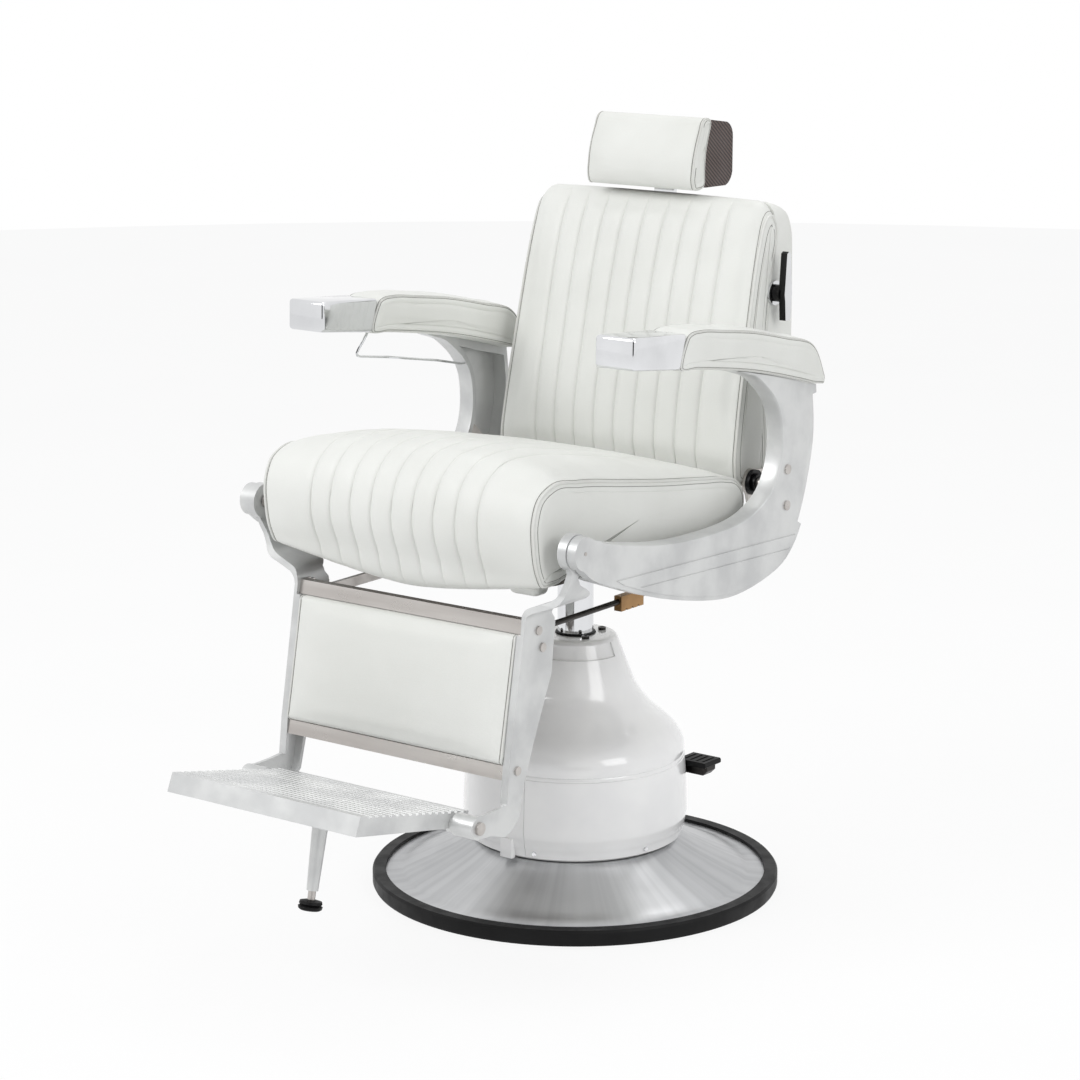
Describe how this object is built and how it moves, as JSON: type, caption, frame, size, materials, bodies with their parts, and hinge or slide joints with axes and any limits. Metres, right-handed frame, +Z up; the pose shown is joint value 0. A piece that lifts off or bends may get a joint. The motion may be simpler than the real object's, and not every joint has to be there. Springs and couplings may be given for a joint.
{
  "type": "barber chair",
  "caption": "Hydraulic barber chair with channelled seat and back, cast side frames, linked reclining leg rest, flip-up foot plate and round pedestal base.",
  "frame": {"origin": "centre of the round base, on the floor", "axes": "+Z up, -Y where the sitter faces, +X the sitter's left, where the pump pedal is"},
  "size_m": [0.685, 1.1234, 1.266],
  "materials": {
    "iron": "grey painted casting, hidden under the covers",
    "spun_steel": "spun sheet with fine circular brushing",
    "ring_rubber": "semi-gloss black moulded ring",
    "bronze": "dull bronze",
    "cover_white": "glossy white moulding",
    "frame_cast": "fine sand-cast surface, silver-white coat",
    "support_white": "white enamel on the support casting",
    "steel": "satin stainless",
    "chrome": "polished chrome plate",
    "black_plastic": "black, slightly worn",
    "rubber": "matt black",
    "leather": "white smooth-grain upholstery leather",
    "brown_leather": "dark brown ribbed cover",
    "board": "plain plywood",
    "dark_steel": "black painted steel"
  },
  "bodies": {
    "base": {"base_casting": "iron", "base_cover": "spun_steel", "base_ring": "ring_rubber", "pump_cylinder": "iron", "ram_bush": "bronze", "ram_seal": "rubber", "bell_cover": "cover_white", "bell_screws": "dark_steel", "band_left": "cover_white", "band_right": "cover_white", "band_screws": "chrome", "pump_block": "iron", "pedal_bracket": "iron", "pedal_pin": "steel"},
    "pedal": {"pedal_lever": "dark_steel", "pedal_pad": "rubber"},
    "plunger": {"pump_plunger": "chrome"},
    "ram": {"ram": "chrome"},
    "seat": {"seat_frame": "support_white", "frame_pads": "support_white", "seat_board": "board", "seat_cushion": "leather", "side_frame_left": "frame_cast", "side_frame_right": "frame_cast", "frame_bolts": "steel", "leg_pivot_pins": "steel", "recline_pivots": "steel", "pivot_caps": "black_plastic", "arm_bar_left": "dark_steel", "arm_bar_right": "dark_steel", "arm_tip_left": "chrome", "arm_tip_right": "chrome", "arm_pad_left": "leather", "arm_pad_right": "leather", "towel_rail": "chrome"},
    "back": {"back_shell": "leather", "back_cushion": "leather", "back_levers": "steel", "stem_guide": "dark_steel", "knob_escutcheon": "chrome"},
    "head_stem": {"headrest_stem": "chrome"},
    "headrest": {"headrest_body": "brown_leather", "headrest_pad": "leather", "headrest_hinge_pin": "steel"},
    "knob": {"clamp_knob": "black_plastic", "clamp_screw": "steel"},
    "legrest": {"leg_rail_left": "frame_cast", "leg_rail_right": "frame_cast", "leg_bar_top": "steel", "leg_bar_bottom": "steel", "leg_board": "board", "leg_pad": "leather", "leg_screws": "steel", "plate_bolts": "steel"},
    "link_left": {"link_rod_left": "dark_steel", "link_block_left": "bronze"},
    "link_right": {"link_bar_right": "steel"},
    "footplate": {"foot_plate": "frame_cast", "stand_leg": "frame_cast", "stand_stem": "steel", "stand_foot": "rubber"}
  },
  "joints": [
    {"name": "lift", "type": "slide", "parent": "base", "child": "ram", "axis": [0, 0, 1], "range_m": [-0.1, 0.06]},
    {"name": "swivel", "type": "hinge", "parent": "ram", "child": "seat", "pos_m": [0, 0, 0.58], "axis": [0, 0, 1], "continuous": true},
    {"name": "recline", "type": "hinge", "parent": "seat", "child": "back", "pos_m": [0, 0.147, 0.688], "axis": [-1, 0, 0], "range_deg": [0, 55]},
    {"name": "legrest_swing", "type": "hinge", "parent": "seat", "child": "legrest", "pos_m": [0, -0.424, 0.683], "axis": [-1, 0, 0], "range_deg": [0, 55]},
    {"name": "link_turn_left", "type": "hinge", "parent": "legrest", "child": "link_left", "pos_m": [0.21325, -0.384, 0.543], "axis": [-1, 0, 0], "range_deg": [-55, 0]},
    {"name": "link_turn_right", "type": "hinge", "parent": "legrest", "child": "link_right", "pos_m": [-0.21325, -0.384, 0.543], "axis": [-1, 0, 0], "range_deg": [-55, 0]},
    {"name": "plate_flip", "type": "hinge", "parent": "legrest", "child": "footplate", "pos_m": [0, -0.554, 0.273], "axis": [-1, 0, 0], "range_deg": [0, 80]},
    {"name": "headrest_slide", "type": "slide", "parent": "back", "child": "head_stem", "axis": [0, 0.1564, 0.9877], "range_m": [0, 0.1]},
    {"name": "headrest_tilt", "type": "hinge", "parent": "head_stem", "child": "headrest", "pos_m": [0, 0.25834, 1.194], "axis": [-1, 0, 0], "range_deg": [0, 20]},
    {"name": "knob_turn", "type": "hinge", "parent": "back", "child": "knob", "pos_m": [0.24, 0.22572, 0.988], "axis": [1, 0, 0], "range_deg": [-90, 90]},
    {"name": "pedal_press", "type": "hinge", "parent": "base", "child": "pedal", "pos_m": [-0.02, 0.13, 0.192], "axis": [0, 1, 0], "range_deg": [0, 12], "stiffness_Nm_per_rad": 6, "springref_deg": -17.19},
    {"name": "plunger_slide", "type": "slide", "parent": "base", "child": "plunger", "axis": [0, 0, -1], "range_m": [0, 0.0145]}
  ],
  "couplings": [
    {"joint": "legrest_swing", "follows": "recline", "ratio": 1},
    {"joint": "link_turn_left", "follows": "recline", "ratio": -1},
    {"joint": "link_turn_right", "follows": "recline", "ratio": -1},
    {"joint": "plunger_slide", "follows": "pedal_press", "m_per_rad": 0.068}
  ]
}
